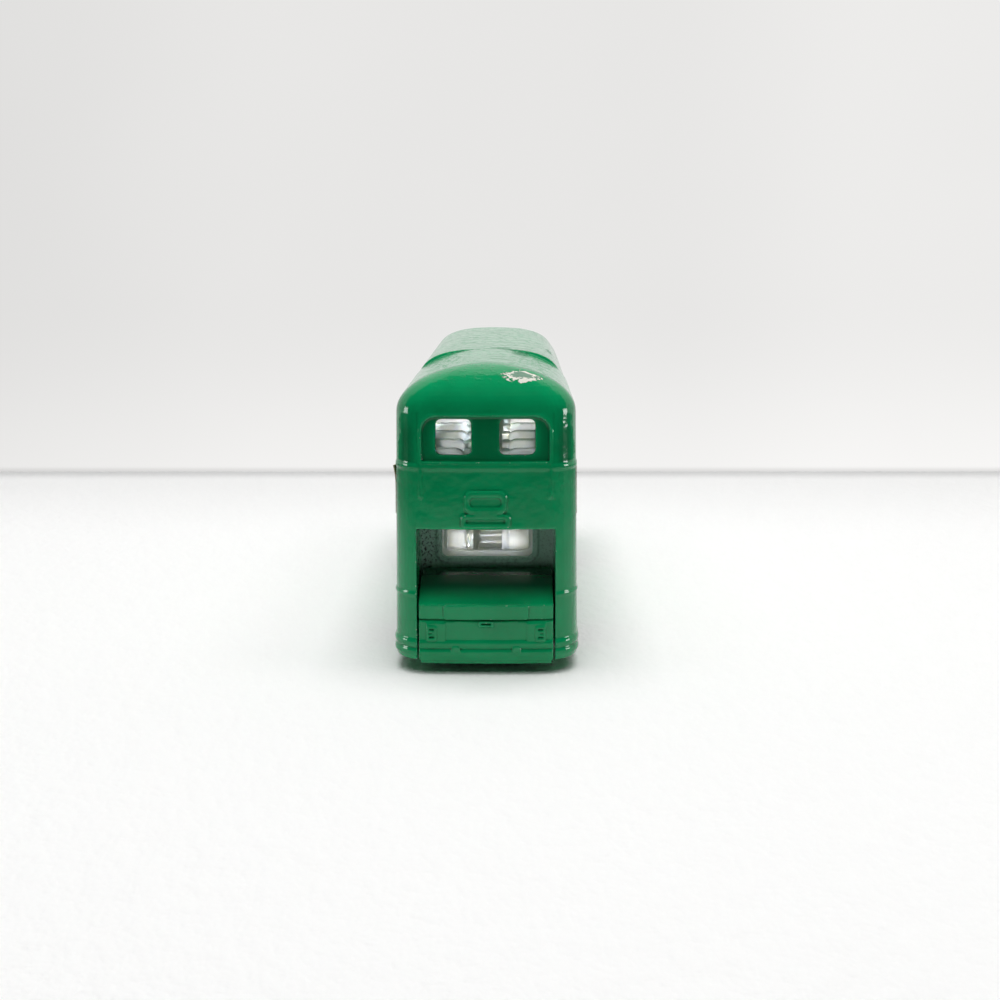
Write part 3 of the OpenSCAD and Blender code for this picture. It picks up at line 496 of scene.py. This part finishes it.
# Voxel size in millimetres and share of the faces kept, at full and at quick detail
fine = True
BODY_VOXEL, BODY_KEEP = (0.12, 0.27) if fine else (0.2, 0.5)
BASE_VOXEL, BASE_KEEP = (0.08, 0.25) if fine else (0.16, 0.5)
SEAT_VOXEL, SEAT_KEEP = (0.15, 0.3) if fine else (0.2, 0.5)
WHEEL_VOXEL, WHEEL_KEEP = (0.09 if fine else 0.14), 0.4
PIN_VOXEL, PIN_KEEP = (0.06 if fine else 0.1), 0.4

# The two castings under their enamel
body = softened("body_shell", "body_enamel", BODY_VOXEL, 2, BODY_KEEP)
worn_and_shaded_enamel = enamel("green_enamel_worn_and_shaded", roof_wear, large_chip, bay_overspray, rear_recess_shade)
finish_piece(body, BODY, "green_enamel", worn_and_shaded_enamel, "body_shell")
base = softened("base_casting", "base_enamel", BASE_VOXEL, 2, BASE_KEEP)
base_enamel = enamel("green_enamel_base", paint_cover_shadow)
finish_piece(base, BODY, "green_enamel_base", base_enamel, "base_casting")

# The two seat mouldings
plastic = white_plastic("white_seat_plastic")
for node in ("lower_deck_seats", "upper_deck_seats"):
    seats = softened(node, node + "_moulding", SEAT_VOXEL, 3, SEAT_KEEP)
    finish_piece(seats, BODY, "white_plastic", plastic, node)

# Wheels and axles
wheel_plastic = black_plastic("black_wheel_plastic")
for node in ("front_left_wheel", "front_right_wheel", "rear_left_wheel", "rear_right_wheel"):
    wheel = softened(node, node + "_moulding", WHEEL_VOXEL, 2, WHEEL_KEEP)
    finish_piece(wheel, node, "black_plastic", wheel_plastic, node)
steel = axle_steel("drawn_steel")
for node in ("front_axle", "rear_axle"):
    pin = softened(node, node + "_pin", PIN_VOXEL, 3, PIN_KEEP)
    finish_piece(pin, node, "axle_steel", steel, node)

# The paper labels, the left one with a corner lifting
LABEL_STEPS_Y, LABEL_STEPS_Z = 120, 16
LABEL_ROOM = 0.12 * MM
RIGHT_LABEL_THICKNESS = 0.05 * MM
LIFT_HEIGHT, LIFT_REACH = 0.28 * MM, 2.2 * MM
RIPPLE_HEIGHT, RIPPLE_PER_M = 0.012 * MM, 260
INNER_RIPPLE = 0.3
CELL = ((0, 0), (1, 0), (1, 1), (0, 1))


def label(node, side):
    low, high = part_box(node)
    mesh = bpy.data.meshes.new(node + "_paper")
    made = bmesh.new()
    thick = LABEL_ROOM if side < 0 else RIGHT_LABEL_THICKNESS
    skin = max(abs(low.x), abs(high.x)) - LABEL_ROOM
    lean = high.x - low.x - LABEL_ROOM
    length, height = high.y - low.y, high.z - low.z
    steps_y, steps_z = LABEL_STEPS_Y, LABEL_STEPS_Z
    grid = {}
    for layer in (0, 1):
        for i in range(steps_y + 1):
            for j in range(steps_z + 1):
                u, v = i / steps_y, j / steps_z
                at_y = low.y + length * u
                at_z = low.z + height * v
                out = skin - lean * v + thick * layer
                if side < 0:
                    from_corner = math.hypot(u * length, (1 - v) * height)
                    lift = max(0.0, 1.0 - from_corner / LIFT_REACH)
                    out += LIFT_HEIGHT * lift * lift
                spot = Vector((at_y * RIPPLE_PER_M, at_z * RIPPLE_PER_M, side * 3.0))
                out += RIPPLE_HEIGHT * noise.noise(spot) * (INNER_RIPPLE + layer)
                edge = 1.0 if i in (0, steps_y) or j in (0, steps_z) else 0.0
                grid[layer, i, j] = (made.verts.new((side * out, at_y, at_z)), edge)
    for layer in (0, 1):
        for i in range(steps_y):
            for j in range(steps_z):
                made.faces.new([grid[layer, i + a, j + b][0] for a, b in CELL])
    rim = [(i, 0) for i in range(steps_y)] + [(steps_y, j) for j in range(steps_z)]
    rim += [(i, steps_z) for i in range(steps_y, 0, -1)]
    rim += [(0, j) for j in range(steps_z, 0, -1)]
    for k, (i, j) in enumerate(rim):
        p, q = rim[(k + 1) % len(rim)]
        corners = ((0, i, j), (0, p, q), (1, p, q), (1, i, j))
        made.faces.new([grid[corner][0] for corner in corners])
    bmesh.ops.recalc_face_normals(made, faces=made.faces)
    made.verts.index_update()
    values = [0.0] * len(made.verts)
    for vert, edge in grid.values():
        values[vert.index] = edge
    made.to_mesh(mesh)
    made.free()
    worn = mesh.attributes.new("edge", "FLOAT", "POINT")
    worn.data.foreach_set("value", values)
    piece = bpy.data.objects.new(node + "_paper", mesh)
    scene.collection.objects.link(piece)
    return piece


paper = label_paper("bare_label_paper")
for node, side in (("left_side_label", -1), ("right_side_label", 1)):
    finish_piece(label(node, side), BODY, "label_paper", paper, node)

# Floor and backdrop
FLOOR_X = 270.0
FLOOR_Y = (-230.0, 100.5)
FLOOR_COLOUR = (0.975, 0.975, 0.972)
FLOOR_BRIGHT_AT, FLOOR_BRIGHT_RADII = (0.0, -20.0, 0.0), (100.0, 100.0, 100.0)
FLOOR_SHADED_DEPTH = 10.5
WALL_X = 900.0
WALL_TOP = 330.0
WALL_COLOUR = (1.0, 0.992, 0.98)
WALL_LIGHT = 0.4
BLACK = (0.0, 0.0, 0.0)


def stage_plane(name, corners, material):
    mesh = bpy.data.meshes.new(name)
    mesh.from_pydata([tuple(Vector(c) * MM) for c in corners], [], [(0, 1, 2, 3)])
    mesh.materials.append(material)
    obj = bpy.data.objects.new(name, mesh)
    scene.collection.objects.link(obj)


def floor_material(name):
    """White board; away from the bus it throws back less light than it shows."""
    g = Graph(name)
    path = g.node("ShaderNodeLightPath")
    away = g.blob(FLOOR_BRIGHT_AT, FLOOR_BRIGHT_RADII)
    dim = g.node("ShaderNodeMix", data_type="FLOAT")
    g.feed(path.outputs["Is Camera Ray"], dim.inputs[0])
    g.feed(g.ramp(away, 1.95, 0.4, 0.02, 0.92), dim.inputs[2])
    dim.inputs[3].default_value = 1.0
    # Painted shade on the floor towards its joint with the wall
    corner = g.ramp(g.axis(1), FLOOR_Y[1] - FLOOR_SHADED_DEPTH, FLOOR_Y[1], 1.0, 0.72)
    g.set("Base Color", g.mix(g.times(dim.outputs[0], corner), BLACK, FLOOR_COLOUR))
    g.set("Roughness", 0.8)
    g.set("Specular IOR Level", 0.1)
    coarse = g.bump(g.noise(0.55, stretch=(1.0, 0.7, 1.0)), 0.6 * MM, 0.5)
    g.set("Normal", g.bump(g.noise(1.6), 0.25 * MM, 0.4, coarse))
    g.show_front_only(g.shader.outputs[0])
    return g.mat


def backdrop_material(name):
    """A pale wall at the tone it shows, which also lights the bus a little."""
    g = Graph(name)
    path = g.node("ShaderNodeLightPath")
    seen = g.math("MAXIMUM", path.outputs["Is Camera Ray"], path.outputs["Is Glossy Ray"])
    seen = g.math("MAXIMUM", seen, path.outputs["Is Transmission Ray"])
    glow = g.node("ShaderNodeEmission")
    # Painted light and shade on the wall: brighter near the floor and to the right, painted
    # shade at its foot, darker far to the left
    x, z = g.axis(0), g.axis(2)
    tone = g.times(
        g.ramp(z, -15.0, 36.0, 0.929, 0.807),
        g.ramp(z, -0.1, 1.3, 0.78, 1.0),
        g.ramp(x, 30.0, 75.0, 1.0, 1.045),
        g.ramp(x, -110.0, -40.0, 0.93, 1.0),
        g.ramp(g.noise(0.02), 0.3, 0.7, 1.0, 0.99),
    )
    g.link(g.mix(tone, BLACK, WALL_COLOUR), glow.inputs[0])
    g.link(g.ramp(seen, 0.0, 1.0, WALL_LIGHT, 1.0), glow.inputs[1])
    g.show_front_only(glow.outputs[0])
    return g.mat


floor_corners = [(-FLOOR_X, FLOOR_Y[0], 0), (FLOOR_X, FLOOR_Y[0], 0),
                 (FLOOR_X, FLOOR_Y[1], 0), (-FLOOR_X, FLOOR_Y[1], 0)]
stage_plane("floor", floor_corners, floor_material("pale_board"))
wall_corners = [(-WALL_X, FLOOR_Y[1], 0), (WALL_X, FLOOR_Y[1], 0),
                (WALL_X, FLOOR_Y[1], WALL_TOP), (-WALL_X, FLOOR_Y[1], WALL_TOP)]
stage_plane("backdrop", wall_corners, backdrop_material("pale_backdrop"))

# Lamps, with places and sizes in millimetres, power in watts and spread in degrees
WARM, COOL = (1.0, 0.985, 0.96), (0.98, 0.99, 1.0)


def area_light(name, at, aim, size, power, colour=(1, 1, 1), mirrored=False, spread=180.0):
    data = bpy.data.lights.new(name, "AREA")
    data.shape = "RECTANGLE"
    data.size, data.size_y = size[0] * MM, size[1] * MM
    data.energy = power
    data.color = colour
    data.spread = math.radians(spread)
    lamp = bpy.data.objects.new(name, data)
    lamp.location = Vector(at) * MM
    lamp.rotation_mode = "QUATERNION"
    lamp.rotation_quaternion = (Vector(aim) - Vector(at)).to_track_quat("-Z", "Y")
    lamp.visible_glossy = mirrored
    scene.collection.objects.link(lamp)
    return lamp


# A broad lamp overhead, a weaker one over the rear, and two side lamps for the soft shadows
area_light("top_lamp", at=(0, 0, 600), aim=(0, 0, 0), size=(400, 300), power=2.62)
area_light("back_lamp", at=(0, -300, 520), aim=(0, -20, 0), size=(400, 260), power=0.65)
area_light("right_lamp", at=(230, -50, 400), aim=(0, 0, 10), size=(140, 140), power=0.2,
           colour=WARM)
area_light("left_lamp", at=(-230, -50, 400), aim=(0, 0, 10), size=(140, 140), power=0.1,
           colour=COOL)

# Narrow lamps that shine through the windows onto the seats and into the engine bay
for side in (-1, 1):
    area_light("upper_window_lamp", at=(side * 130, -110, 52), aim=(0, -10, 24.5),
               size=(16, 4), power=0.00028, spread=2.0)
    area_light("lower_window_lamp", at=(side * 130, -100, 45), aim=(0, 0, 12),
               size=(12, 4), power=0.00008, spread=2.0)
    area_light("rear_window_lamp", at=(side * 3.6, -140, 45), aim=(side * 3.6, -37, 26.2),
               size=(3.9, 3.2), power=0.000024, spread=1.0)
area_light("bay_lamp", at=(0, -150, 36), aim=(0, -29, 13.2), size=(8, 1.8), power=0.000075,
           spread=1.4)

# Catch lights that show only as glints on the corners
for at, power in (((-345, -30, 55), 0.26), ((345, -50, 40), 0.36)):
    catch = area_light("catch_light", at=at, aim=(0, -36, 28), size=(110, 80), power=power,
                       mirrored=True)
    catch.visible_diffuse = False

# The room, pale to the camera and nearly dark as a light
ROOM_COLOUR = (1.0, 0.995, 0.985, 1.0)
ROOM_LIGHT, ROOM_SHOWN = 0.02, 0.82
world = bpy.data.worlds.new("room")
scene.world = world
world.use_nodes = True
tree = world.node_tree
room = tree.nodes["Background"]
room.inputs[0].default_value = ROOM_COLOUR
path = tree.nodes.new("ShaderNodeLightPath")
level = tree.nodes.new("ShaderNodeMapRange")
tree.links.new(path.outputs["Is Camera Ray"], level.inputs[0])
level.inputs[3].default_value = ROOM_LIGHT
level.inputs[4].default_value = ROOM_SHOWN
tree.links.new(level.outputs[0], room.inputs[1])
